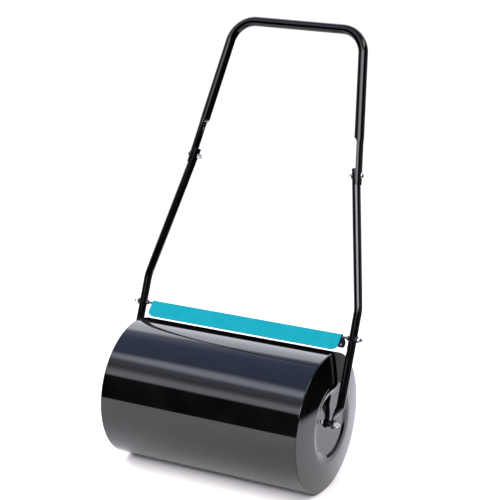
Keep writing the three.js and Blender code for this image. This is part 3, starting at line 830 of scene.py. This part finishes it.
def fade(tree, value, start, end, low, high):
    """Smooth step of a socket from low at start to high at end."""
    node = tree.nodes.new("ShaderNodeMapRange")
    node.interpolation_type = "SMOOTHSTEP"
    node.inputs["From Min"].default_value, node.inputs["From Max"].default_value = start, end
    node.inputs["To Min"].default_value, node.inputs["To Max"].default_value = low, high
    tree.links.new(value, node.inputs["Value"])
    return node.outputs["Result"]


def window(tree, value, rise_from, rise_to, fall_from, fall_to):
    """1 between rise_to and fall_from, fading to 0 outside."""
    return link_math(tree, "MULTIPLY", fade(tree, value, rise_from, rise_to, 0, 1),
                     fade(tree, value, fall_from, fall_to, 1, 0))


def paper_sheet():
    """White paper that ends a little beyond the drum's right end and further away elsewhere."""
    look = bpy.data.materials.new("pale_floor")
    look.use_nodes = True
    tree = look.node_tree
    tree.nodes.clear()
    paper = tree.nodes.new("ShaderNodeBsdfDiffuse")
    paper.inputs["Color"].default_value = (0.87, 0.845, 0.835, 1)
    clear = tree.nodes.new("ShaderNodeBsdfTransparent")
    blend = tree.nodes.new("ShaderNodeMixShader")
    out = tree.nodes.new("ShaderNodeOutputMaterial")
    spot = tree.nodes.new("ShaderNodeSeparateXYZ")
    tree.links.new(tree.nodes.new("ShaderNodeTexCoord").outputs["Object"], spot.inputs["Vector"])
    # the right edge runs across the floor at a slant
    across = link_math(tree, "ADD", link_math(tree, "MULTIPLY", spot.outputs["X"], 0.911),
                       link_math(tree, "MULTIPLY", spot.outputs["Y"], 0.412))
    sheet = link_math(tree, "MULTIPLY", window(tree, across, -2.3, -2.0, 0.73, 0.86),
                      window(tree, spot.outputs["Y"], -1.65, -1.45, 1.0, 1.4))
    tree.links.new(sheet, blend.inputs["Fac"])
    tree.links.new(clear.outputs["BSDF"], blend.inputs[1])
    tree.links.new(paper.outputs["BSDF"], blend.inputs[2])
    tree.links.new(blend.outputs["Shader"], out.inputs["Surface"])
    return look


FLOOR_EDGE, FLOOR_FRONT = 9000.0, -2000.0
corners = [(-FLOOR_EDGE, FLOOR_FRONT), (FLOOR_EDGE, FLOOR_FRONT), (FLOOR_EDGE, FLOOR_EDGE),
           (-FLOOR_EDGE, FLOOR_EDGE)]
floor = mesh("floor", ([(x, y, 0.0) for x, y in corners], [(0, 1, 2, 3)]))
floor.data.materials.append(paper_sheet())


# ---------------------------------------------------------------- studio
# Panels of light round the object in a dark room, in degrees: where each begins and ends to rise and
# to fall in elevation, and so in bearing. A bearing is the azimuth, 0 toward -Y and 90 toward +X, or
# the angle from the middle of the panel behind the object. The colour is the panel's light.
AZIMUTH, FROM_BACK = "azimuth", "from back"
BACK_AZIMUTH = 200.0
PANELS = [
    ((42, 52, 200, 201), AZIMUTH, (-182, -181, -12, 8), (0.5, 0.62, 1.05)),
    ((42, 52, 200, 201), AZIMUTH, (-12, 8, 181, 182), (0.5, 0.49, 0.5)),
    ((17, 21, 42, 49), FROM_BACK, (-2, -1, 56, 74), (3.3, 3.35, 3.7)),
    ((47, 52.5, 54, 61), AZIMUTH, (-66, -54, -10, 10), (3.0, 3.0, 3.1)),
    ((25.5, 29, 32.5, 40), AZIMUTH, (-80, -60, -16, 6), (2.6, 2.5, 2.7)),
    ((34, 39, 45, 52), AZIMUTH, (-80, -60, -16, 6), (0.7, 0.68, 0.78)),
    ((22, 34, 39, 45), AZIMUTH, (-30, 6, 30, 62), (9.5, 9.5, 10.5)),
    ((40, 47, 56, 63), AZIMUTH, (50, 62, 94, 108), (10.0, 9.9, 9.8)),
    ((-8, 0, 14, 22), AZIMUTH, (70, 100, 151, 154), (0.45, 0.43, 0.45)),
    ((-12, 4, 40, 60), AZIMUTH, (-148, -132, -88, -72), (1.1, 1.08, 1.12)),
    ((-30, -14, 14, 22), AZIMUTH, (151, 155, 172, 178), (0.35, 0.33, 0.35)),
]


def panel_light(tree):
    """Sum of the panels' light toward a direction, as a colour socket."""
    toward = tree.nodes.new("ShaderNodeSeparateXYZ")
    tree.links.new(tree.nodes.new("ShaderNodeTexCoord").outputs["Generated"], toward.inputs["Vector"])
    rise = link_math(tree, "MULTIPLY", link_math(tree, "ARCSINE", toward.outputs["Z"]), 180 / math.pi)
    front = link_math(tree, "MULTIPLY", toward.outputs["Y"], -1.0)
    around = link_math(tree, "MULTIPLY", link_math(tree, "ARCTAN2", toward.outputs["X"], front),
                       180 / math.pi)
    turned = link_math(tree, "FLOORED_MODULO", around, 360.0)
    from_back = link_math(tree, "ABSOLUTE", link_math(tree, "SUBTRACT", turned, BACK_AZIMUTH))
    bearings = {AZIMUTH: around, FROM_BACK: from_back}
    total = None
    for up, bearing, sweep, colour in PANELS:
        amount = link_math(tree, "MULTIPLY", window(tree, rise, *up),
                           window(tree, bearings[bearing], *sweep))
        scale = tree.nodes.new("ShaderNodeVectorMath")
        scale.operation = "SCALE"
        scale.inputs[0].default_value = colour
        tree.links.new(amount, scale.inputs["Scale"])
        if total is None:
            total = scale.outputs["Vector"]
            continue
        add = tree.nodes.new("ShaderNodeVectorMath")
        tree.links.new(total, add.inputs[0])
        tree.links.new(scale.outputs["Vector"], add.inputs[1])
        total = add.outputs["Vector"]
    return total


def build_world():
    """The panels light the object, and the view past it is plain white."""
    world = bpy.data.worlds.new("studio")
    bpy.context.scene.world = world
    world.use_nodes = True
    tree = world.node_tree
    tree.nodes.clear()
    panels = tree.nodes.new("ShaderNodeBackground")
    tree.links.new(panel_light(tree), panels.inputs["Color"])
    pale = tree.nodes.new("ShaderNodeBackground")
    pale.inputs["Color"].default_value = (1, 1, 1, 1)
    pale.inputs["Strength"].default_value = 1.05
    both = tree.nodes.new("ShaderNodeMixShader")
    tree.links.new(tree.nodes.new("ShaderNodeLightPath").outputs["Is Camera Ray"], both.inputs["Fac"])
    tree.links.new(panels.outputs["Background"], both.inputs[1])
    tree.links.new(pale.outputs["Background"], both.inputs[2])
    out = tree.nodes.new("ShaderNodeOutputWorld")
    tree.links.new(both.outputs["Shader"], out.inputs["Surface"])


def area(name, at, target, size, power):
    """Soft lamp that lights the floor and the matt surfaces and shows in no reflection."""
    lamp = bpy.data.lights.new(name, "AREA")
    lamp.shape, lamp.size, lamp.energy = "DISK", size, power
    lamp.color = (1.0, 0.985, 0.95)
    obj = bpy.data.objects.new(name, lamp)
    bpy.context.scene.collection.objects.link(obj)
    obj.location = at
    obj.rotation_euler = (Vector(target) - Vector(at)).to_track_quat("-Z", "Y").to_euler()
    obj.visible_camera = obj.visible_glossy = False


build_world()
area("key", (-0.9, -1.7, 2.2), (0, 0, 0.2), 1.8, 45)
area("fill", (0.6, -1.2, 2.4), (0, 0, 0.2), 1.6, 12)
area("front", (0.3, -2.5, 1.0), (0, 0, 0.1), 1.8, 8)


# ---------------------------------------------------------------- camera
def add_camera(target, azimuth, elevation, distance, lens):
    """Camera that looks at the target from an azimuth and an elevation in degrees."""
    az, el = math.radians(azimuth), math.radians(elevation)
    back = Vector((math.sin(az) * math.cos(el), -math.cos(az) * math.cos(el), math.sin(el)))
    camera = bpy.data.objects.new("camera", bpy.data.cameras.new("camera"))
    bpy.context.scene.collection.objects.link(camera)
    camera.data.sensor_width, camera.data.lens = 36.0, lens
    camera.data.clip_start, camera.data.clip_end = 0.05, 60
    camera.location = Vector(target) + back * distance
    camera.rotation_mode = "QUATERNION"
    camera.rotation_quaternion = (-back).to_track_quat("-Z", "Y")
    return camera


scene = bpy.context.scene
scene.view_settings.view_transform = "Standard"
scene.camera = add_camera((0.04387, 0.01794, 0.52975), 27.66, 17.6, 3.6636, 118.62)
